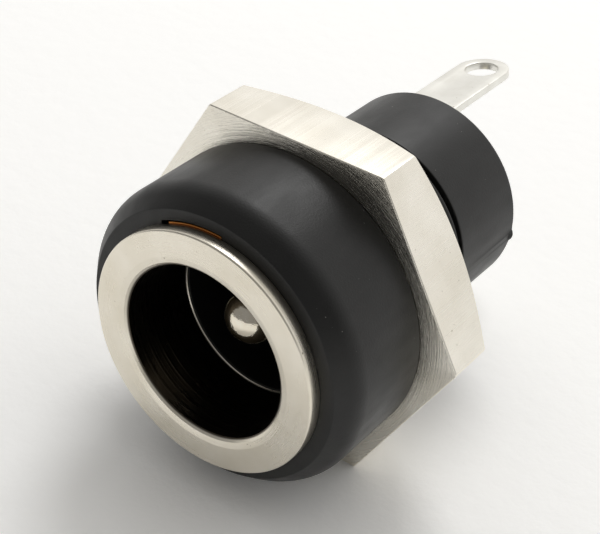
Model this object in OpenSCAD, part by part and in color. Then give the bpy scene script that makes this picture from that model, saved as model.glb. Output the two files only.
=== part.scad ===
// DC barrel jack for a panel, with a hex nut drawn up behind its collar.
// The jack's axis is Y. The plug goes in along +Y at the mouth, y = 0, and the
// solder lugs point out at the back. +Z is square to the nut's top flat.
// Positions along the axis are called stations and are measured from the mouth.

/* [Plug] */
// Outer diameter of the plug that the jack takes
plug_d = 5.5; // [5:0.1:5.9]
// How far the bow of the spring stands into the plug's path
contact_preload = 0.15; // [0.05:0.05:0.4]

/* [Sleeve] */
// Bore of the metal sleeve at the mouth
sleeve_bore_d = 6.3; // [6:0.1:6.6]
// Wall of the sleeve's tube
sleeve_wall = 0.35; // [0.2:0.05:0.45]
// Length of the sleeve from the mouth to its inner end
sleeve_l = 3.1; // [1.5:0.1:3.6]
// Diameter of the flange that shows at the front
flange_d = 8.85; // [8.4:0.05:9.6]
// Thickness of the flange
flange_t = 0.5; // [0.3:0.05:1]
// Diameter of the bevel round the mouth, on the flange's face
bevel_d = 7; // [6.7:0.05:7.6]
// Diameter where the shallow bevel meets the steep one
bevel_mid_d = 6.56; // [6.5:0.02:6.66]
// Depth of the shallow outer bevel
bevel_outer_depth = 0.05; // [0.02:0.01:0.1]
// Depth of the steep inner bevel
bevel_inner_depth = 0.1; // [0.05:0.01:0.2]

/* [Moulded body] */
// Diameter of the collar that bears on the front of the panel
collar_d = 11; // [10.4:0.1:16]
// Length of the collar
collar_l = 4; // [3.8:0.1:8]
// Width of the collar's sloping shoulder, measured along the radius
shoulder_w = 0.57; // [0.2:0.01:0.8]
// Slope of the shoulder from the axis, in degrees
shoulder_angle = 40; // [25:1:60]
// Radius that blends the shoulder into the collar's side
shoulder_r = 1; // [0.2:0.1:1.4]
// Diameter of the threaded neck, over the thread
neck_d = 8; // [7.8:0.05:9.6]
// Length of the threaded neck, from the collar's back
neck_l = 5.3; // [3:0.1:8]
// Pitch of the neck's thread
thread_pitch = 0.75; // [0.5:0.05:1]
// Plain stretch between the collar and the thread
thread_gap = 0.3; // [0.1:0.05:0.6]
// Width of the groove between the thread and the barrel
relief_w = 0.4; // [0.2:0.05:0.8]
// Diameter of the plain barrel behind the neck
barrel_d = 7.75; // [7.5:0.05:9.4]
// Length of the plain barrel
barrel_l = 3.6; // [2.5:0.1:7]
// Bevel round the barrel's back edge
barrel_edge = 0.12; // [0.05:0.01:0.3]
// Bore of the socket behind the sleeve
socket_d = 6.1; // [5.9:0.05:6.2]
// Thickness of the wall that closes the socket at the back
back_wall = 2; // [1.2:0.1:2.4]

/* [Contact strip] */
// Thickness of the sheet that both terminals are stamped from
sheet_t = 0.3; // [0.2:0.05:0.4]
// Width of the contact strip and of its solder lug
strip_w = 2.13; // [1.8:0.01:2.4]
// How far the strip's front tab stands out past the flange's rim
tab_proud = 0.05; // [0:0.01:0.15]
// Plastic between the strip's outer face and the outside of the barrel
strip_cover = 0.635; // [0.5:0.005:0.8]
// Angle of the strip round the axis, from the nut's top flat, in degrees
strip_turn = 9.6; // [-30:0.1:30]
// Inner radius of the strip's bends
bend_r = 0.3; // [0.1:0.05:0.4]
// Length of the spring's bow
bow_l = 4.6; // [3:0.1:5]
// Distance from the barrel's back to the eye of the strip's lug
lug_reach = 4.28; // [2:0.01:8]
// Diameter of the wire eyes in both lugs
eye_d = 1.3; // [0.8:0.05:1.4]

/* [Centre pin] */
// Diameter of the centre pin
pin_d = 2; // [1.8:0.05:2.6]
// Distance from the mouth to the pin's tip
pin_recess = 1.85; // [0.5:0.05:3]
// Length of the pin's rounded tip
pin_tip_l = 1; // [0.4:0.05:1.2]
// Diameter of the collar that seats the pin on the back wall
pin_collar_d = 3.2; // [2.8:0.1:3.8]
// Thickness of the pin's collar
pin_collar_t = 0.6; // [0.4:0.1:1]
// Diameter of the tail that goes through the back wall
tail_d = 1.5; // [1:0.05:1.7]
// Diameter of the riveted head on the tail
rivet_d = 2.5; // [2:0.1:3]
// Height of the riveted head
rivet_t = 0.45; // [0.3:0.05:0.8]

/* [Pin terminal] */
// Diameter of the ring under the riveted head
ring_d = 3.4; // [3.1:0.1:3.8]
// Width of the pin's solder lug
pin_lug_w = 2; // [1.8:0.05:2.4]
// Distance from the barrel's back to the eye of the pin's lug
pin_lug_reach = 3.2; // [2:0.05:6]
// Distance from the axis to the outer face of the pin's lug
pin_lug_offset = 3.1; // [2.6:0.05:3.5]

/* [Nut] */
// Size of the nut across its flats
nut_af = 12; // [10:0.1:14]
// Thickness of the nut
nut_t = 2.5; // [1.5:0.1:4]
// Diameter of the flat circle on the nut's bevelled face
nut_crown_d = 11.4; // [10:0.1:13.5]
// Slope of the nut's bevel from its face, in degrees
nut_bevel_angle = 30; // [15:1:45]
// Countersink at both ends of the nut's bore
countersink = 0.35; // [0.1:0.05:0.6]

/* [Fits] */
// Gap all round between a pressed or screwed piece and its seat
fit_gap = 0.02; // [0.01:0.01:0.05]
// Gap round the strip in its slot
slot_gap = 0.06; // [0.02:0.01:0.1]
// Gap at the left side of the strip's front tab in its notch
notch_gap = 0.28; // [0.1:0.01:0.5]

/* [Hidden] */
$fn = 96;

// How far a cutting shape runs past what it cuts.
over = 0.5;

// Stations along the axis.
collar_back = flange_t + collar_l;
neck_back = collar_back + neck_l;
barrel_back = neck_back + barrel_l;
socket_floor = barrel_back - back_wall;

// Depth of a 60 degree thread with flats at its crests and roots.
thread_depth = 5 / 8 * thread_pitch * cos(30);

// The sleeve's tube and the run of the strip along its outside.
sleeve_d = sleeve_bore_d + 2 * sleeve_wall;
front_run = sleeve_d / 2 + fit_gap + sheet_t / 2;
tab_mid = flange_t + fit_gap + sheet_t / 2;
tab_r = flange_d / 2 + tab_proud;

// The run of the strip along the socket, through the back wall and out. It
// drops to there from the front run behind the sleeve, at 45 degrees.
rear_run = barrel_d / 2 - strip_cover - sheet_t / 2;
joggle_start = sleeve_l + bend_r;
joggle_end = joggle_start + front_run - rear_run;
bow_start = max(joggle_end + bend_r, collar_back + bend_r);
bow_end = bow_start + bow_l;
bow_depth = rear_run - sheet_t / 2 - (plug_d / 2 - contact_preload);
eye_station = barrel_back + lug_reach;
bow_steps = 16;

// The terminal on the pin's tail.
ring_mid = barrel_back + sheet_t / 2;
pin_lug_run = pin_lug_offset - sheet_t / 2;
pin_eye_station = barrel_back + pin_lug_reach;
bend_steps = 6;

// ---- Shared shapes ----

// Turns a profile of [station, radius] points round the jack's axis.
module turned(profile) {
    rotate([-90, 0, 0])
        rotate_extrude()
            polygon([for (p = profile) [p[1], p[0]]]);
}

// A round bar on the jack's axis between two stations.
module bar(d, from, to) {
    translate([0, from, 0])
        rotate([-90, 0, 0])
            cylinder(d = d, h = to - from);
}

// Folded sheet: an outline of [station, height] points, w wide across X.
module folded(outline, w) {
    translate([-w / 2, 0, 0])
        rotate([90, 0, 90])
            linear_extrude(w)
                polygon(outline);
}

// Turns the terminals round the axis, away from the nut's top flat.
module at_strip_angle() {
    rotate([0, -strip_turn, 0])
        children();
}

// A lug's plan: w wide from one station to the eye, with a round end.
module lug_plan(w, from, eye, height) {
    linear_extrude(height, center = true) {
        translate([-w / 2, from])
            square([w, eye - from]);
        translate([0, eye])
            circle(d = w);
    }
}

// ---- Bent strips ----

function unit(v) = v / norm(v);
function left_of(v) = [-v[1], v[0]];

// A bend at corner b between a and c, with middle radius r, as points on its arc.
function bend(a, b, c, r) =
    let (u = unit(a - b), v = unit(c - b), half = acos(u * v) / 2)
    let (centre = b + unit(u + v) * r / sin(half))
    let (p = b + u * r / tan(half), q = b + v * r / tan(half))
    let (start = p - centre, finish = q - centre, sweep = 180 - 2 * half)
    let (turn = start[0] * finish[1] - start[1] * finish[0] > 0 ? 1 : -1)
    [for (i = [0:bend_steps])
        let (t = turn * sweep * i / bend_steps)
        centre + [start[0] * cos(t) - start[1] * sin(t), start[0] * sin(t) + start[1] * cos(t)]];

// Unit directions of the path's segments just before and just after one of its points.
function before(path, i) = unit(path[max(i, 1)] - path[max(i, 1) - 1]);
function after(path, i) = unit(path[min(i, len(path) - 2) + 1] - path[min(i, len(path) - 2)]);

// The step from a point of the path to the sheet's face, h to its left, along the mitre.
function mitre(path, i, h) =
    let (n = unit(left_of(before(path, i) + after(path, i))))
    n * h / (n * left_of(after(path, i)));

// One face of a sheet whose middle follows the path, at distance h to its left.
function face(path, h) = [for (i = [0:len(path) - 1]) path[i] + mitre(path, i, h)];

function reversed(list) = [for (i = [len(list) - 1:-1:0]) list[i]];

// The outline of a sheet of thickness t whose middle follows the path.
function sheet(path, t) = concat(face(path, t / 2), reversed(face(path, -t / 2)));

// ---- Pieces ----

// The shoulder's slope runs into the collar's side through an arc.
function shoulder_arc() =
    let (slope_end = flange_t + shoulder_w / tan(shoulder_angle))
    let (r = min(shoulder_r, 0.9 * shoulder_w / sin(shoulder_angle) / tan(shoulder_angle / 2)))
    let (centre = [slope_end + r * tan(shoulder_angle / 2), collar_d / 2 - r])
    [for (i = [0:8])
        let (t = 90 + shoulder_angle * (1 - i / 8))
        centre + r * [cos(t), sin(t)]];

// The thread's section: a groove for each pitch that fits between two stations.
function thread_grooves(from, to) =
    let (r = neck_d / 2, crest = thread_pitch / 8, root = thread_pitch / 4)
    let (flank = (thread_pitch - crest - root) / 2)
    let (groove = [
        [crest / 2, r],
        [crest / 2 + flank, r - thread_depth],
        [crest / 2 + flank + root, r - thread_depth],
        [thread_pitch - crest / 2, r],
    ])
    [for (i = [0:1:floor((to - from) / thread_pitch) - 1], p = groove)
        [from + i * thread_pitch + p[0], p[1]]];

module body() {
    root_r = neck_d / 2 - thread_depth;
    relief = neck_back - relief_w;
    color([0.13, 0.13, 0.13])
        difference() {
            turned(concat(
                [[flange_t, 0], [flange_t, collar_d / 2 - shoulder_w]],
                shoulder_arc(),
                [[collar_back, collar_d / 2], [collar_back, neck_d / 2]],
                thread_grooves(collar_back + thread_gap, relief),
                [
                    [relief, neck_d / 2],
                    [relief, root_r],
                    [neck_back, root_r],
                    [neck_back, barrel_d / 2],
                    [barrel_back - barrel_edge, barrel_d / 2],
                    [barrel_back, barrel_d / 2 - barrel_edge],
                    [barrel_back, 0],
                ]
            ));
            bar(socket_d, flange_t - over, socket_floor);
            bar(sleeve_d + 2 * fit_gap, flange_t - over, sleeve_l + fit_gap);
            bar(tail_d + 2 * fit_gap, socket_floor - over, barrel_back + over);
            at_strip_angle() strip_cuts();
        }
}

// Slot for the strip along the body, and the notch for its front tab.
module strip_cuts() {
    slot_w = strip_w + 2 * slot_gap;
    front_top = front_run + sheet_t / 2 + slot_gap;
    rear_top = rear_run + sheet_t / 2 + slot_gap;
    rear_bottom = rear_run - sheet_t / 2 - slot_gap;
    tab_back = tab_mid + sheet_t / 2 + fit_gap;
    // Behind the flange, with a round roof over the tab's end.
    intersection() {
        translate([-strip_w / 2 - notch_gap, flange_t - over, 0])
            cube([strip_w + notch_gap + slot_gap, tab_back - flange_t + over, flange_d]);
        bar(2 * (tab_r + slot_gap), flange_t - over, tab_back);
    }
    // Relief for the bend between the tab and the run beside the sleeve.
    folded([[tab_back - over, front_top], [tab_back - over, front_top + bend_r],
            [tab_back, front_top + bend_r], [tab_back + bend_r, front_top]], slot_w);
    // Beside the sleeve, past the end of the joggle.
    translate([-slot_w / 2, flange_t - over, 0])
        cube([slot_w, joggle_end + bend_r - flange_t + over, front_top]);
    // Along the socket.
    translate([-slot_w / 2, joggle_end - over, 0])
        cube([slot_w, socket_floor - joggle_end + over, rear_top]);
    // Through the back wall.
    translate([-slot_w / 2, socket_floor - over, rear_bottom])
        cube([slot_w, back_wall + 2 * over, rear_top - rear_bottom]);
}

module sleeve() {
    color([0.83, 0.81, 0.76])
        turned([
            [0, bevel_d / 2],
            [0, flange_d / 2],
            [flange_t, flange_d / 2],
            [flange_t, sleeve_d / 2],
            [sleeve_l, sleeve_d / 2],
            [sleeve_l, sleeve_bore_d / 2],
            [bevel_outer_depth + bevel_inner_depth, sleeve_bore_d / 2],
            [bevel_outer_depth, bevel_mid_d / 2],
        ]);
}

// The strip's middle line, from its tab behind the flange to past its eye.
function strip_path() =
    let (mid_r = bend_r + sheet_t / 2)
    let (corner = [tab_mid, front_run])
    let (j1 = [joggle_start, front_run], j2 = [joggle_end, rear_run])
    concat(
        [[tab_mid, flange_d / 2 + over]],
        bend([tab_mid, flange_d / 2], corner, j1, mid_r),
        bend(corner, j1, j2, mid_r),
        bend(j1, j2, [bow_start, rear_run], mid_r),
        [for (i = [0:bow_steps])
            [bow_start + bow_l * i / bow_steps,
             rear_run - bow_depth * (1 - cos(360 * i / bow_steps)) / 2]],
        [[eye_station + strip_w, rear_run]]
    );

module contact_strip() {
    color([0.86, 0.86, 0.83])
        at_strip_angle()
            difference() {
                intersection() {
                    folded(sheet(strip_path(), sheet_t), strip_w + over);
                    lug_plan(strip_w, 0, eye_station, 2 * flange_d);
                    bar(2 * tab_r, 0, eye_station + strip_w);
                }
                translate([0, eye_station, rear_run - over])
                    cylinder(d = eye_d, h = 2 * over);
            }
}

// The pin's rounded tip as points of a quarter ellipse.
function pin_tip() =
    [for (i = [0:12])
        let (t = 90 * i / 12)
        [pin_recess + pin_tip_l * (1 - cos(t)), pin_d / 2 * sin(t)]];

// The riveted head, from its rim to its middle.
function rivet_head() =
    let (seat = barrel_back + sheet_t)
    [for (i = [0:8])
        let (t = 90 * i / 8)
        [seat + rivet_t * sin(t), rivet_d / 2 * cos(t)]];

module centre_pin() {
    collar_front = socket_floor - pin_collar_t;
    color([0.85, 0.84, 0.8])
        turned(concat(
            pin_tip(),
            [
                [collar_front, pin_d / 2],
                [collar_front, pin_collar_d / 2],
                [socket_floor, pin_collar_d / 2],
                [socket_floor, tail_d / 2],
                [barrel_back + sheet_t, tail_d / 2],
            ],
            rivet_head()
        ));
}

// The pin's lug hangs from the ring and bends out to the back.
module pin_terminal() {
    path = concat(
        [[ring_mid, 0]],
        bend([ring_mid, 0], [ring_mid, -pin_lug_run], [pin_eye_station, -pin_lug_run],
             bend_r + sheet_t / 2),
        [[pin_eye_station + pin_lug_w, -pin_lug_run]]
    );
    color([0.86, 0.86, 0.83])
        at_strip_angle()
            difference() {
                union() {
                    bar(ring_d, barrel_back, barrel_back + sheet_t);
                    intersection() {
                        folded(sheet(path, sheet_t), pin_lug_w + over);
                        lug_plan(pin_lug_w, barrel_back - over, pin_eye_station, 2 * barrel_d);
                    }
                }
                bar(tail_d + 2 * fit_gap, barrel_back - over, barrel_back + over);
                translate([0, pin_eye_station, -pin_lug_run - over])
                    cylinder(d = eye_d, h = 2 * over);
            }
}

// The bevel is a cone that takes the six corners off one face.
module hex_nut() {
    corner_d = nut_af / cos(30);
    nut_back = collar_back + nut_t;
    bore_d = neck_d + 2 * fit_gap;
    bevel_l = (corner_d - nut_crown_d) / 2 * tan(nut_bevel_angle);
    color([0.88, 0.87, 0.82])
        difference() {
            intersection() {
                translate([0, collar_back, 0])
                    rotate([-90, 0, 0])
                        cylinder(d = corner_d, h = nut_t, $fn = 6);
                turned([
                    [collar_back, 0],
                    [collar_back, corner_d],
                    [nut_back - bevel_l, corner_d],
                    [nut_back - bevel_l, corner_d / 2],
                    [nut_back, nut_crown_d / 2],
                    [nut_back, 0],
                ]);
            }
            bar(bore_d, collar_back - over, nut_back + over);
            turned([
                [nut_back - countersink, 0],
                [nut_back - countersink, bore_d / 2],
                [nut_back + over, bore_d / 2 + countersink + over],
                [nut_back + over, 0],
            ]);
            turned([
                [collar_back - over, 0],
                [collar_back - over, bore_d / 2 + countersink + over],
                [collar_back + countersink, bore_d / 2],
                [collar_back + countersink, 0],
            ]);
        }
}

body();
sleeve();
contact_strip();
centre_pin();
pin_terminal();
hex_nut();
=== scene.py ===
import math

import bmesh
import bpy
from mathutils import Matrix, Vector


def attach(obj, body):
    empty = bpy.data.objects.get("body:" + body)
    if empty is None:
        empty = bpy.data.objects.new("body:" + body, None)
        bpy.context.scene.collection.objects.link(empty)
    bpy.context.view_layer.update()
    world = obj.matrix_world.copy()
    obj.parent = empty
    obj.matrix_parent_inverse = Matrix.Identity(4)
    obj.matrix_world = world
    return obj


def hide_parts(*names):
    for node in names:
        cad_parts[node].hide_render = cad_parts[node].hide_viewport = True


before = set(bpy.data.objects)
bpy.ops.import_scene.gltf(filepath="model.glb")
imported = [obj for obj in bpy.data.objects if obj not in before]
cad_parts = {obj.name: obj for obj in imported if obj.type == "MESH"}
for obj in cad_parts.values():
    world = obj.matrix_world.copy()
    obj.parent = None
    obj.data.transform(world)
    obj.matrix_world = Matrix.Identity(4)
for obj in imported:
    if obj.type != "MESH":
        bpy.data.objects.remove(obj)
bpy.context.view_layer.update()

# ---------------------------------------------------------------------------
# Moulded body. Collar, threaded neck, barrel and back wall are one shot of
# black plastic, thread included, and a nib of flash is left at the barrel's back
# rim. The other pieces are pressed into it, riveted to it or screwed on to it.
# ---------------------------------------------------------------------------

MM = 0.001

# Stations along the axis, from the mouth.
FLANGE_BACK = 0.5
COLLAR_BACK = 4.5
NECK_BACK = 9.8
BARREL_BACK = 13.4
SOCKET_FLOOR = 11.4

COLLAR_R = 5.5
SHOULDER_W = 0.57
SHOULDER_ANGLE = 40
SHOULDER_R = 1.0
NECK_R = 4.0
BARREL_R = 3.875
SOCKET_R = 3.05
SLEEVE_SEAT_R = 3.52
SLEEVE_SEAT_BACK = 3.12

THREAD_PITCH = 0.75
THREAD_DEPTH = 0.406
THREAD_FROM = 4.8
THREAD_TO = 9.3
THREAD_RUN_OUT = 0.4
RELIEF_W = 0.4
NIB_L = 0.25
NIB_W = 0.5
NIB_PROUD = 0.1
NIB_ANGLE = math.radians(-6)
NIB_REACH = math.radians(4)
RIM_EASE = 0.1
RUN_IN = 0.05
SHARP = math.radians(32)


def linear(grey_or_rgb):
    """A colour from display values of 0 to 255, with alpha."""
    rgb = grey_or_rgb if isinstance(grey_or_rgb, tuple) else (grey_or_rgb,) * 3
    return tuple(((v / 255 + 0.055) / 1.055) ** 2.4 for v in rgb) + (1.0,)


def corner_arc(before, here, after, r, steps):
    """Points on the arc of radius r that rounds a corner."""
    before, here, after = Vector(before), Vector(here), Vector(after)
    a, b = (before - here).normalized(), (after - here).normalized()
    half = a.angle(b) / 2
    centre = here + (a + b).normalized() * r / math.sin(half)
    start = here + a * r / math.tan(half) - centre
    end = here + b * r / math.tan(half) - centre
    sweep = math.atan2(start.x * end.y - start.y * end.x, start.dot(end))
    turns = [sweep * k / steps for k in range(steps + 1)]
    return [centre + Vector((start.x * math.cos(t) - start.y * math.sin(t),
                             start.x * math.sin(t) + start.y * math.cos(t))) for t in turns]


def eased(points, closed=False, steps=4):
    """Rounds the corners of a profile. A point is (station, radius, easing radius)."""
    out = []
    count = len(points)
    for i, point in enumerate(points):
        r = point[2] if len(point) > 2 else 0
        if r == 0 or (not closed and i in (0, count - 1)):
            out.append(Vector(point[:2]))
            continue
        out += corner_arc(points[i - 1][:2], point[:2], points[(i + 1) % count][:2], r, steps)
    return [(p.x, p.y) for p in out]


def turned(name, profile_at, angles, closed=False):
    """A piece on the jack's axis. profile_at gives its [station, radius] points at an angle."""
    rings = [profile_at(a) for a in angles]
    count = len(rings[0])
    bm = bmesh.new()
    on_axis = {}
    grid = []
    for a, ring in zip(angles, rings):
        row = []
        for k, (s, r) in enumerate(ring):
            if r < 1e-6:
                if k not in on_axis:
                    on_axis[k] = bm.verts.new((0, s * MM, 0))
                row.append(on_axis[k])
            else:
                row.append(bm.verts.new((r * math.cos(a) * MM, s * MM, r * math.sin(a) * MM)))
        grid.append(row)
    for i, row in enumerate(grid):
        after = grid[(i + 1) % len(grid)]
        for k in range(count if closed else count - 1):
            n = (k + 1) % count
            corners = [row[k], row[n], after[n], after[k]]
            corners = [v for j, v in enumerate(corners) if v not in corners[:j]]
            if len(corners) > 2:
                bm.faces.new(corners)
    return piece_from(name, bm)


def piece_from(name, bm, sharp=SHARP):
    """Makes an object of the mesh, with outward faces, smooth except at edges sharper than the angle."""
    bmesh.ops.recalc_face_normals(bm, faces=bm.faces)
    mesh = bpy.data.meshes.new(name)
    bm.to_mesh(mesh)
    bm.free()
    mesh.shade_smooth()
    mesh.set_sharp_from_angle(angle=sharp)
    piece = bpy.data.objects.new(name, mesh)
    bpy.context.scene.collection.objects.link(piece)
    return piece


def cut(piece, cutters):
    """Takes the cutters' shapes out of the piece for good."""
    for cutter in cutters:
        modifier = piece.modifiers.new("cut", "BOOLEAN")
        modifier.operation = "DIFFERENCE"
        modifier.solver = "EXACT"
        modifier.object = cutter
    graph = bpy.context.evaluated_depsgraph_get()
    mesh = bpy.data.meshes.new_from_object(piece.evaluated_get(graph))
    piece.modifiers.clear()
    piece.data = mesh
    mesh.set_sharp_from_angle(angle=SHARP)
    for cutter in cutters:
        bpy.data.objects.remove(cutter)


def block(low, high, turn=0):
    """A block between two corners in mm, turned about the jack's axis, for cutting with."""
    bm = bmesh.new()
    bmesh.ops.create_cube(bm, size=1)
    size = [(h - l) * MM for l, h in zip(low, high)]
    middle = [(h + l) / 2 * MM for l, h in zip(low, high)]
    bmesh.ops.transform(bm, verts=bm.verts, matrix=Matrix.Rotation(-turn, 4, "Y")
                        @ Matrix.Translation(middle) @ Matrix.Diagonal(size + [1]))
    return piece_from("cutter", bm)


def shoulder():
    """The collar's front corner: a 40 degree slope, blended into the side."""
    angle = math.radians(SHOULDER_ANGLE)
    slope_end = FLANGE_BACK + SHOULDER_W / math.tan(angle)
    return [(FLANGE_BACK, COLLAR_R - SHOULDER_W, 0.08), (slope_end, COLLAR_R, SHOULDER_R)]


def thread_radius(s, angle):
    """The neck's radius with its 60 degree thread, which runs out at both ends."""
    phase = (s / THREAD_PITCH - angle / (2 * math.pi)) % 1
    flank = (min(phase, 1 - phase) - 1 / 16) / (5 / 16)
    run_out = min(s - THREAD_FROM, THREAD_TO - s) / THREAD_RUN_OUT
    return NECK_R - THREAD_DEPTH * min(1, max(0, flank)) * min(1, max(0, run_out))


def flash(s, angle):
    """The nib of flash on the barrel's back rim."""
    along = max(0, 1 - (BARREL_BACK - s) / NIB_L)
    across = max(0, 1 - (abs(angle - NIB_ANGLE) * BARREL_R / (NIB_W / 2)) ** 2)
    return NIB_PROUD * min(1, 2 * along) * across


def body_profile(angle):
    """The section from the socket's floor round the outside to the back wall's middle."""
    steps = 120
    root_r = NECK_R - THREAD_DEPTH
    relief = NECK_BACK - RELIEF_W
    front = eased([
        (SOCKET_FLOOR, 0), (SOCKET_FLOOR, SOCKET_R, 0.15), (SLEEVE_SEAT_BACK, SOCKET_R, 0.03),
        (SLEEVE_SEAT_BACK, SLEEVE_SEAT_R), (FLANGE_BACK, SLEEVE_SEAT_R, 0.03), *shoulder(),
        (COLLAR_BACK, COLLAR_R, 0.08), (COLLAR_BACK, NECK_R)], steps=6)
    neck = [COLLAR_BACK + (relief - RUN_IN - COLLAR_BACK) * i / steps for i in range(1, steps)]
    groove = eased([
        (relief - RUN_IN, NECK_R), (relief, NECK_R, 0.03), (relief, root_r, 0.06),
        (NECK_BACK, root_r, 0.06), (NECK_BACK, BARREL_R, 0.04), (NECK_BACK + 2 * RUN_IN, BARREL_R)])
    barrel = eased([
        (NECK_BACK + 4 * RUN_IN, BARREL_R), (BARREL_BACK - NIB_L, BARREL_R),
        (BARREL_BACK - NIB_L / 2, BARREL_R), (BARREL_BACK, BARREL_R, RIM_EASE), (BARREL_BACK, 0)])
    rim_r = BARREL_R - 1.1 * RIM_EASE
    behind = [(s, r + flash(s, angle) if r > rim_r else r) for s, r in barrel]
    return front + [(s, thread_radius(s, angle)) for s in neck] + groove + behind


# The cuts for the strip: how high they start from the axis, and where each ends.
CUT_FLOOR = 2.5
NOTCH_BACK = 0.84
NOTCH_ROOF_GAP = 0.06
FRONT_SLOT_BACK = 4.35
FRONT_SLOT_TOP = 3.88
REAR_SLOT_TOP = 3.30
WALL_SLOT_BOTTOM = 2.88


def around_nib(steps):
    """Even angles round the axis, closer together at the nib."""
    even = [2 * math.pi * i / steps - math.pi for i in range(steps)]
    close = [NIB_ANGLE + math.radians(d) for d in (-3.5, -2.8, -2, -1, 0, 1, 2, 2.8, 3.5)]
    return sorted([a for a in even if abs(a - NIB_ANGLE) > NIB_REACH] + close)


def notch(left, right, back, roof_r, turn):
    """A prism with a round roof, for cutting the room for the strip's tab."""
    bm = bmesh.new()
    steps = 16
    edge = [left + (right - left) * i / steps for i in range(steps + 1)]
    outline = [(x, math.sqrt(roof_r ** 2 - x ** 2)) for x in edge] + [(right, CUT_FLOOR), (left, CUT_FLOOR)]
    ends = [[bm.verts.new((x * MM, s * MM, z * MM)) for x, z in outline] for s in (0, back)]
    bm.faces.new(ends[0])
    bm.faces.new(ends[1])
    for i in range(len(outline)):
        k = (i + 1) % len(outline)
        bm.faces.new((ends[0][i], ends[0][k], ends[1][k], ends[1][i]))
    bmesh.ops.transform(bm, verts=bm.verts, matrix=Matrix.Rotation(-turn, 4, "Y"))
    return piece_from("cutter", bm)


body = turned("moulded_body", body_profile, around_nib(144))

# The strip's slot runs in from the notch behind the flange to the back face.
STRIP_TURN = math.radians(9.6)
STRIP_W = 2.13
SLOT_W = STRIP_W + 0.12
NOTCH_LEFT = -STRIP_W / 2 - 0.28
NOTCH_RIGHT = SLOT_W / 2
TAB_R = 4.475
cut(body, [
    notch(NOTCH_LEFT, NOTCH_RIGHT, NOTCH_BACK, TAB_R + NOTCH_ROOF_GAP, STRIP_TURN),
    block((-SLOT_W / 2, 0, CUT_FLOOR), (SLOT_W / 2, FRONT_SLOT_BACK, FRONT_SLOT_TOP), STRIP_TURN),
    block((-SLOT_W / 2, 4, CUT_FLOOR), (SLOT_W / 2, SOCKET_FLOOR, REAR_SLOT_TOP), STRIP_TURN),
    block((-SLOT_W / 2, 11, WALL_SLOT_BOTTOM), (SLOT_W / 2, 14, REAR_SLOT_TOP), STRIP_TURN),
])
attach(body, "root")
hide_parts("body")


def node(material, kind, inputs=None, **settings):
    """Adds a shader node. An input is a plain value or the socket that feeds it."""
    made = material.node_tree.nodes.new("ShaderNode" + kind)
    for key, value in settings.items():
        setattr(made, key, value)
    for key, value in (inputs or {}).items():
        if isinstance(value, bpy.types.NodeSocket):
            material.node_tree.links.new(value, made.inputs[key])
        else:
            made.inputs[key].default_value = value
    return made


def finish_named(name):
    """An empty material, and its place in mm on the jack."""
    material = bpy.data.materials.new(name)
    material.use_nodes = True
    material.node_tree.nodes.clear()
    place = node(material, "VectorMath", {0: node(material, "TexCoord").outputs["Object"],
                                          1: (1 / MM,) * 3}, operation="MULTIPLY")
    return material, place.outputs[0]


def noise(material, place, scale, stretch=(1, 1, 1), detail=2, rough=0.5):
    """Noise with this many bumps a mm, drawn out along the axes by stretch."""
    drawn = node(material, "VectorMath", {0: place, 1: stretch}, operation="MULTIPLY")
    made = node(material, "TexNoise", {"Vector": drawn.outputs[0], "Scale": scale,
                                       "Detail": detail, "Roughness": rough})
    return made.outputs["Fac"]


def between(material, value, low, high, to_low=0.0, to_high=1.0):
    """Maps a value from one range to another, and holds it there."""
    made = node(material, "MapRange", {"Value": value, "From Min": low, "From Max": high,
                                       "To Min": to_low, "To Max": to_high})
    return made.outputs["Result"]


def mixed(material, factor, a, b):
    """One colour at factor 0 and the other at 1."""
    made = node(material, "Mix", {0: factor, 6: a, 7: b}, data_type="RGBA")
    return made.outputs[2]


def sums(material, kind, a, b=0.0):
    """One step of arithmetic."""
    return node(material, "Math", {0: a, 1: b}, operation=kind).outputs[0]


def bumped(material, height, distance, strength=1.0, normal=None):
    """A bump of this height in mm."""
    inputs = {"Height": height, "Distance": distance * MM, "Strength": strength}
    if normal is not None:
        inputs["Normal"] = normal
    return node(material, "Bump", inputs).outputs["Normal"]


def skinned(material, inputs):
    """Gives the material its shader."""
    shader = node(material, "BsdfPrincipled", inputs)
    node(material, "OutputMaterial", {"Surface": shader.outputs[0]})


def moulding():
    """Black plastic with a faint grain and a few specks of dust."""
    material, place = finish_named("black_moulding")
    cloud = noise(material, place, 0.45, detail=3)
    grain = noise(material, place, 14, detail=3, rough=0.6)
    flow = noise(material, place, 1.6, stretch=(1, 0.35, 1), detail=3)
    specks = noise(material, place, 9, detail=1)
    patches = noise(material, place, 0.9, detail=1)
    dust = sums(material, "MULTIPLY", between(material, specks, 0.80, 0.82),
                between(material, patches, 0.5, 0.62))
    plain = mixed(material, between(material, cloud, 0.3, 0.7), linear(20), linear((27, 27, 26)))
    skinned(material, {
        "Base Color": mixed(material, dust, plain, linear((150, 148, 142))),
        "Roughness": between(material, flow, 0.3, 0.7, 0.40, 0.50),
        "Specular IOR Level": 0.4,
        "Normal": bumped(material, grain, 0.006),
    })
    return material


body.data.materials.clear()
body.data.materials.append(moulding())

# ---------------------------------------------------------------------------
# Sleeve. Turned from brass and nickel plated, with a flange that shows as the
# ring round the mouth. It is pressed into the collar. Its bore is darkened with
# painted shade, and still has the faint ridges that the boring tool left.
# ---------------------------------------------------------------------------

SLEEVE_R = 3.5
SLEEVE_BORE_R = 3.15
SLEEVE_END = 3.1
FLANGE_R = 4.425
BEVEL_R = 3.5
BEVEL_MID_R = 3.28


def around(steps):
    """Even angles round the axis."""
    return [2 * math.pi * i / steps for i in range(steps)]


def tool_marks(s):
    """How far the bore's wall stands in at a station."""
    return 0.004 * math.sin(s * 17) + 0.003 * math.sin(s * 41 + 1) + 0.002 * math.sin(s * 97 + 2)


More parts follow.
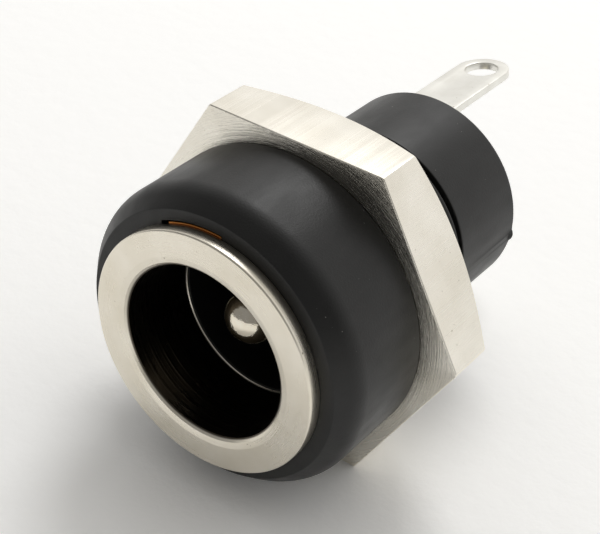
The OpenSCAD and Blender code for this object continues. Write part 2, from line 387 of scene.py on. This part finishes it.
def sleeve_profile(angle):
    marks = 110
    bore = [SLEEVE_END - 0.03 - (SLEEVE_END - 0.2) * i / marks for i in range(marks)]
    rest = eased([
        (0.15, SLEEVE_BORE_R), (0.05, BEVEL_MID_R, 0.02), (0, BEVEL_R, 0.05),
        (0, FLANGE_R, 0.07), (FLANGE_BACK, FLANGE_R, 0.04), (FLANGE_BACK, SLEEVE_R),
        (SLEEVE_END, SLEEVE_R, 0.03), (SLEEVE_END, SLEEVE_BORE_R - 0.03, 0.02)])
    return [(s, SLEEVE_BORE_R - max(0, tool_marks(s))) for s in bore] + rest


sleeve = turned("flanged_sleeve", sleeve_profile, around(192), closed=True)
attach(sleeve, "root")
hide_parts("sleeve")


def from_axis(material, place):
    """The place as X, station and Z, and its distance from the jack's axis."""
    parts = node(material, "SeparateXYZ", {0: place}).outputs
    flat = node(material, "CombineXYZ", {0: parts[0], 2: parts[2]})
    return parts, node(material, "VectorMath", {0: flat.outputs[0]}, operation="LENGTH").outputs["Value"]


def turning(material, place, fine, along):
    """Marks of a lathe tool: noise by radius on a face, or by station on a side."""
    parts, radius = from_axis(material, place)
    across = radius if along == "radius" else parts[1]
    swept = node(material, "CombineXYZ", {
        0: sums(material, "MULTIPLY", across, fine),
        1: sums(material, "MULTIPLY", parts[0], 0.35),
        2: sums(material, "MULTIPLY", parts[2], 0.35)})
    return swept.outputs[0]


def sleeve_nickel():
    """Satin nickel with turning marks, and painted shade darkening the inside of the bore."""
    material, place = finish_named("satin_sleeve_nickel")
    face = noise(material, turning(material, place, 14, "radius"), 1, detail=4, rough=0.65)
    side = noise(material, turning(material, place, 9, "station"), 1, detail=4, rough=0.65)
    marks = sums(material, "ADD", face, side)
    tone = noise(material, place, 0.7, detail=3)
    pits = noise(material, place, 7, detail=2)
    colour = mixed(material, between(material, tone, 0.3, 0.7),
                   linear((236, 230, 217)), linear((226, 219, 203)))
    parts, radius = from_axis(material, place)
    # Painted shade: the bore's wall is darkened up to just short of the sleeve's end.
    inside = sums(material, "MULTIPLY",
                  between(material, radius, SLEEVE_BORE_R + 0.07, SLEEVE_BORE_R + 0.03),
                  between(material, parts[1], SLEEVE_END - 0.06, SLEEVE_END - 0.1))
    painted_bore_shade = mixed(material, inside, colour, linear((78, 72, 64)))
    skinned(material, {
        "Base Color": mixed(material, between(material, pits, 0.28, 0.2),
                            painted_bore_shade, linear((120, 108, 88))),
        "Metallic": 1.0,
        "Roughness": between(material, marks, 0.7, 1.3, 0.24, 0.36),
        "Normal": bumped(material, marks, 0.004),
    })
    return material


sleeve.data.materials.append(sleeve_nickel())

# ---------------------------------------------------------------------------
# Contact strip. Stamped from tinned sheet and folded: a tab behind the flange,
# a run beside the sleeve, a sprung bow in the socket and the solder lug. The
# sleeve clamps its tab, and the back wall holds it where the lug comes out.
# ---------------------------------------------------------------------------

SHEET_T = 0.3
BEND_R = 0.3
TAB_MID = 0.67
FRONT_RUN = 3.67
REAR_RUN = 3.09
JOGGLE_FROM = 3.4
JOGGLE_TO = JOGGLE_FROM + FRONT_RUN - REAR_RUN
BOW_FROM = 4.8
BOW_L = 4.6
BOW_DEPTH = 0.34
EYE_R = 0.65
EYE_STATION = 17.68
BEND_STEPS = 7
BOW_STEPS = 28


def stamped(name, outline, holes, thickness, ease=0.035):
    """A flat blank stamped from sheet, in mm: its outline and holes, with eased edges."""
    curve = bpy.data.curves.new(name, "CURVE")
    curve.dimensions = "2D"
    curve.fill_mode = "BOTH"
    curve.extrude = thickness / 2 - ease
    curve.bevel_depth = ease
    curve.bevel_resolution = 2
    curve.offset = -ease
    for loop in [outline] + holes:
        spline = curve.splines.new("POLY")
        spline.points.add(len(loop) - 1)
        for point, (x, y) in zip(spline.points, loop):
            point.co = (x, y, 0, 1)
        spline.use_cyclic_u = True
    holder = bpy.data.objects.new(name, curve)
    bpy.context.scene.collection.objects.link(holder)
    graph = bpy.context.evaluated_depsgraph_get()
    mesh = bpy.data.meshes.new_from_object(holder.evaluated_get(graph))
    bpy.data.objects.remove(holder)
    bm = bmesh.new()
    bm.from_mesh(mesh)
    bmesh.ops.remove_doubles(bm, verts=bm.verts, dist=1e-4)
    return bm


def circle(x, y, r, first, last, steps):
    """Points on an arc, angles in degrees."""
    turn = [math.radians(first + (last - first) * i / steps) for i in range(steps + 1)]
    return [(x + r * math.cos(t), y + r * math.sin(t)) for t in turn]


def folded(name, bm, path, turn):
    """Folds a flat blank along a [station, height] path and turns it about the axis."""
    lengths = [0.0]
    for p, q in zip(path, path[1:]):
        lengths.append(lengths[-1] + (q - p).length)
    for u in lengths[1:-1]:
        bmesh.ops.bisect_plane(bm, geom=bm.verts[:] + bm.edges[:] + bm.faces[:], dist=1e-5,
                               plane_co=(0, u, 0), plane_no=(0, 1, 0))
    normals = []
    for k in range(len(path)):
        along = (path[min(k + 1, len(path) - 1)] - path[max(k - 1, 0)]).normalized()
        normals.append(Vector((-along.y, along.x)))
    for v in bm.verts:
        k = max(i for i, u in enumerate(lengths[:-1]) if v.co.y >= u - 1e-5 or i == 0)
        t = (v.co.y - lengths[k]) / (lengths[k + 1] - lengths[k])
        at = path[k].lerp(path[k + 1], t) + normals[k].lerp(normals[k + 1], t).normalized() * v.co.z
        v.co = Vector((v.co.x, at.x, at.y)) * MM
    bmesh.ops.transform(bm, verts=bm.verts, matrix=Matrix.Rotation(-turn, 4, "Y"))
    return piece_from(name, bm, sharp=math.radians(40))


def strip_path():
    """The sheet's middle line, from its tab to past its eye."""
    middle = BEND_R + SHEET_T / 2
    tab, corner = (TAB_MID, TAB_R), (TAB_MID, FRONT_RUN)
    j1, j2 = (JOGGLE_FROM, FRONT_RUN), (JOGGLE_TO, REAR_RUN)
    bow = []
    for i in range(BOW_STEPS + 1):
        sprung = BOW_DEPTH * (1 - math.cos(2 * math.pi * i / BOW_STEPS)) / 2
        bow.append(Vector((BOW_FROM + BOW_L * i / BOW_STEPS, REAR_RUN - sprung)))
    return ([Vector(tab)] + corner_arc(tab, corner, j1, middle, BEND_STEPS)
            + corner_arc(corner, j1, j2, middle, BEND_STEPS)
            + corner_arc(j1, j2, (BOW_FROM, REAR_RUN), middle, BEND_STEPS)
            + bow + [Vector((EYE_STATION + STRIP_W, REAR_RUN))])


path = strip_path()
developed = sum((q - p).length for p, q in zip(path, path[1:])) - STRIP_W
half_w = STRIP_W / 2
across = [half_w * (i / 8 - 1) for i in range(17)]
tab_end = [(x, TAB_R - math.sqrt(TAB_R ** 2 - x ** 2)) for x in across]
blank = stamped(
    "strip", tab_end + circle(0, developed, half_w, 0, 180, 36),
    [circle(0, developed, EYE_R, 360, 10, 35)], SHEET_T)
strip = folded("contact_strip_and_lug", blank, path, STRIP_TURN)
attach(strip, "root")
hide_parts("contact_strip")


def terminal_tin():
    """Pale rolled tin plate over brass, which shows at the strip's front."""
    material, place = finish_named("pale_terminal_tin")
    tone = noise(material, place, 0.9, detail=4, rough=0.6)
    rolled = noise(material, place, 6, stretch=(1, 0.08, 1), detail=3)
    pits = noise(material, place, 5, detail=2)
    tinned = mixed(material, between(material, tone, 0.3, 0.7),
                   linear((238, 237, 231)), linear((224, 222, 215)))
    station = node(material, "SeparateXYZ", {0: place}).outputs[1]
    colour = mixed(material, between(material, station, 0.60, 0.57), tinned, linear((186, 120, 62)))
    skinned(material, {
        "Base Color": mixed(material, between(material, pits, 0.27, 0.2), colour, linear((150, 140, 120))),
        "Metallic": 1.0,
        "Roughness": between(material, rolled, 0.3, 0.7, 0.28, 0.40),
        "Normal": bumped(material, rolled, 0.004),
    })
    return material


tin = terminal_tin()
strip.data.materials.append(tin)

# ---------------------------------------------------------------------------
# Centre pin. Turned from brass and nickel plated bright: a rounded tip, the
# shaft, a collar that seats on the back wall, and a tail that is riveted over
# the pin's terminal outside.
# ---------------------------------------------------------------------------

PIN_R = 1.0
PIN_TIP = 1.85
PIN_TIP_L = 1.0
PIN_COLLAR_R = 1.6
PIN_COLLAR_T = 0.6
TAIL_R = 0.75
RIVET_R = 1.25
RIVET_T = 0.45


def pin_profile(angle):
    """The section from the tip's middle to the middle of the riveted head."""
    tip_steps = 24
    head_steps = 12
    dome = []
    for i in range(tip_steps + 1):
        t = math.pi / 2 * i / tip_steps
        dome.append((PIN_TIP + PIN_TIP_L * (1 - math.cos(t)), PIN_R * math.sin(t)))
    seat = BARREL_BACK + SHEET_T
    shaft = eased([
        (PIN_TIP + PIN_TIP_L, PIN_R), (SOCKET_FLOOR - PIN_COLLAR_T, PIN_R),
        (SOCKET_FLOOR - PIN_COLLAR_T, PIN_COLLAR_R, 0.1), (SOCKET_FLOOR, PIN_COLLAR_R),
        (SOCKET_FLOOR, TAIL_R), (seat, TAIL_R)])
    head = []
    for i in range(head_steps + 1):
        t = math.pi / 2 * i / head_steps
        head.append((seat + RIVET_T * math.sin(t), RIVET_R * math.cos(t) if i < head_steps else 0.0))
    return dome + shaft[1:] + head


pin = turned("centre_pin_turned", pin_profile, around(96))
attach(pin, "root")
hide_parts("centre_pin")


def pin_nickel():
    """Bright nickel, slightly wavy, with fine turning marks."""
    material, place = finish_named("bright_pin_nickel")
    marks = noise(material, turning(material, place, 8, "radius"), 1, detail=4, rough=0.6)
    waves = noise(material, place, 3.2, detail=3, rough=0.6)
    tone = noise(material, place, 1.1, detail=3)
    skinned(material, {
        "Base Color": mixed(material, between(material, tone, 0.3, 0.7),
                            linear((240, 234, 220)), linear((222, 212, 190))),
        "Metallic": 1.0,
        "Roughness": between(material, marks, 0.3, 0.7, 0.07, 0.16),
        "Normal": bumped(material, waves, 0.02, normal=bumped(material, marks, 0.002)),
    })
    return material


pin.data.materials.append(pin_nickel())

# ---------------------------------------------------------------------------
# Pin terminal. Stamped from the same tinned sheet: a ring that the pin's tail
# is riveted through, and a lug folded out to the back with a wire eye.
# ---------------------------------------------------------------------------

RING_R = 1.7
RING_MID = BARREL_BACK + SHEET_T / 2
PIN_LUG_RUN = 2.95
PIN_LUG_HALF_W = 1.0
PIN_EYE_STATION = 16.6
PAST_EYE = 2

middle_r = BEND_R + SHEET_T / 2
lug_path = ([Vector((RING_MID, RING_R))]
            + corner_arc((RING_MID, 0), (RING_MID, -PIN_LUG_RUN), (PIN_EYE_STATION, -PIN_LUG_RUN),
                         middle_r, BEND_STEPS)
            + [Vector((PIN_EYE_STATION + PAST_EYE, -PIN_LUG_RUN))])
lug_end = sum((q - p).length for p, q in zip(lug_path, lug_path[1:])) - PAST_EYE
neck_angle = math.degrees(math.acos(PIN_LUG_HALF_W / RING_R))
ring_outline = circle(0, RING_R, RING_R, neck_angle, neck_angle - 180 - 2 * neck_angle, 48)
blank = stamped(
    "lug", ring_outline + circle(0, lug_end, PIN_LUG_HALF_W, 180, 0, 36),
    [circle(0, RING_R, TAIL_R + 0.02, 360, 10, 35), circle(0, lug_end, EYE_R, 360, 10, 35)], SHEET_T)
terminal = folded("pin_terminal_and_lug", blank, lug_path, STRIP_TURN)
terminal.data.materials.append(tin)
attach(terminal, "root")
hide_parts("pin_terminal")

# ---------------------------------------------------------------------------
# Nut. Turned from drawn hexagon bar and nickel plated. Its back corners are
# bevelled, its front face is faced flat and bears on the collar here, as no
# panel is fitted.
# ---------------------------------------------------------------------------

NUT_HALF_AF = 6.0
NUT_BACK = 7.0
NUT_BORE_R = 4.02
NUT_CORNER_R = 0.12
CROWN_R = 5.7
NUT_BEVEL = math.tan(math.radians(30))
COUNTERSINK = 0.35


def hexagon_radius(angle):
    """The nut's outside, with slightly rounded corners."""
    t = (angle - math.pi / 2) % (math.pi / 3)
    t = min(t, math.pi / 3 - t)
    flat = NUT_HALF_AF / math.cos(t)
    corner_at = (NUT_HALF_AF - NUT_CORNER_R) / math.cos(math.pi / 6)
    away = math.pi / 6 - t
    inside = NUT_CORNER_R ** 2 - (corner_at * math.sin(away)) ** 2
    arc_edge = math.atan2(NUT_CORNER_R * math.sin(math.pi / 6),
                          corner_at + NUT_CORNER_R * math.cos(math.pi / 6))
    if away > arc_edge or inside < 0:
        return flat
    return corner_at * math.cos(away) + math.sqrt(inside)


def nut_profile(angle):
    r = hexagon_radius(angle)
    bevel_at = NUT_BACK - (r - CROWN_R) * NUT_BEVEL
    return eased([
        (COLLAR_BACK + COUNTERSINK, NUT_BORE_R), (COLLAR_BACK, NUT_BORE_R + COUNTERSINK, 0.03),
        (COLLAR_BACK, r, 0.05), (bevel_at, r, 0.04), (NUT_BACK, CROWN_R, 0.06),
        (NUT_BACK, NUT_BORE_R + COUNTERSINK, 0.03), (NUT_BACK - COUNTERSINK, NUT_BORE_R)], closed=True)


def nut_angles():
    """Angles round the nut, closer together at its corners."""
    side = [math.pi / 3 * i / 24 for i in range(24)]
    corner = [math.pi / 6 + math.radians(d) * k for d in (0.14, 0.28, 0.42, 0.56, 0.8) for k in (-1, 1)]
    near = sorted(side + corner)
    return [math.pi / 2 + math.pi / 3 * k + a for k in range(6) for a in near]


nut = turned("hex_nut_turned", nut_profile, nut_angles(), closed=True)
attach(nut, "root")
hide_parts("hex_nut")


def nut_nickel():
    """Nickel with faced rings on the ends and the lines of drawn bar on the flats."""
    material, place = finish_named("brushed_nut_nickel")
    faced = noise(material, turning(material, place, 16, "radius"), 1, detail=5, rough=0.7)
    drawn = noise(material, place, 7, stretch=(1, 0.06, 1), detail=3)
    tone = noise(material, place, 0.6, detail=3)
    pits = noise(material, place, 6, detail=2)
    parts = node(material, "SeparateXYZ", {0: node(material, "NewGeometry").outputs["Normal"]})
    on_face = between(material, sums(material, "ABSOLUTE", parts.outputs[1]), 0.7, 0.9)
    faced_only = sums(material, "MULTIPLY", faced, on_face)
    colour = mixed(material, between(material, tone, 0.3, 0.7),
                   linear((240, 236, 226)), linear((228, 223, 211)))
    skinned(material, {
        "Base Color": mixed(material, between(material, pits, 0.27, 0.2), colour, linear((140, 128, 105))),
        "Metallic": 1.0,
        "Roughness": between(material, faced, 0.3, 0.7, 0.20, 0.32),
        "Normal": bumped(material, faced_only, 0.012, normal=bumped(material, drawn, 0.002)),
    })
    return material


nut.data.materials.append(nut_nickel())

# ---------------------------------------------------------------------------
# Studio. The jack lies on one of its nut's flats on a sheet of white card. A
# white tent round it is brighter behind, and a soft lamp hangs above and behind.
# ---------------------------------------------------------------------------

FLOOR = -6.0
CARD_HALF_W = 0.6
TENT_TURNS = (-0.3, 0.5)
TENT_FRONT = 0.25
TENT_BACK = 0.95

bm = bmesh.new()
bmesh.ops.create_grid(bm, x_segments=1, y_segments=1, size=CARD_HALF_W)
bmesh.ops.translate(bm, verts=bm.verts, vec=(0, 0, FLOOR * MM))
floor = piece_from("card", bm)


def white_card():
    """Card that looks white from the camera and in the metal, and keeps the jack's shadow."""
    material, place = finish_named("white_card")
    grain = noise(material, place, 1.2, detail=4, rough=0.6)
    seen = node(material, "LightPath").outputs
    shown = sums(material, "MAXIMUM", seen["Is Camera Ray"], seen["Is Glossy Ray"])
    tone = mixed(material, between(material, grain, 0.35, 0.65), linear(216), linear(210))
    white = mixed(material, shown, tone, (1.25, 1.25, 1.24, 1))
    shade = node(material, "BsdfDiffuse", {"Color": white, "Normal": bumped(material, grain, 0.03)})
    node(material, "OutputMaterial", {"Surface": shade.outputs[0]})
    return material


floor.data.materials.append(white_card())

world = bpy.data.worlds.new("tent")
bpy.context.scene.world = world
world.use_nodes = True
background = world.node_tree.nodes["Background"]
background.inputs["Color"].default_value = (1.0, 0.985, 0.96, 1)
toward = node(world, "SeparateXYZ", {0: node(world, "TexCoord").outputs["Generated"]})
tent = between(world, toward.outputs[1], TENT_TURNS[0], TENT_TURNS[1], TENT_FRONT, TENT_BACK)
world.node_tree.links.new(tent, background.inputs["Strength"])


def lamp(name, place, aim, size, power):
    """A round soft lamp, aimed at a point."""
    light = bpy.data.lights.new(name, "AREA")
    light.shape = "DISK"
    light.size = size
    light.energy = power
    holder = bpy.data.objects.new(name, light)
    holder.location = place
    holder.rotation_euler = (Vector(aim) - Vector(place)).to_track_quat("-Z", "Y").to_euler()
    bpy.context.scene.collection.objects.link(holder)


lamp("soft_box", (-0.03, 0.11, 0.15), (0, 0.006, 0), 0.08, 0.09)

camera_data = bpy.data.cameras.new("camera")
camera_data.lens = 89.63
camera_data.sensor_width = 36
camera_data.clip_start = 0.001
camera_data.clip_end = 10
camera = bpy.data.objects.new("camera", camera_data)
right = Vector((0.80086, 0.59628, 0.05554)).normalized()
back = -Vector((-0.46112, 0.67318, -0.57809)).normalized()
up = back.cross(right).normalized()
camera.matrix_world = Matrix.Translation(Vector((23.565, -29.047, 30.140)) * MM) @ Matrix(
    (right, up, back)).transposed().to_4x4()
bpy.context.scene.collection.objects.link(camera)
bpy.context.scene.camera = camera

bpy.context.scene.view_settings.view_transform = "Standard"
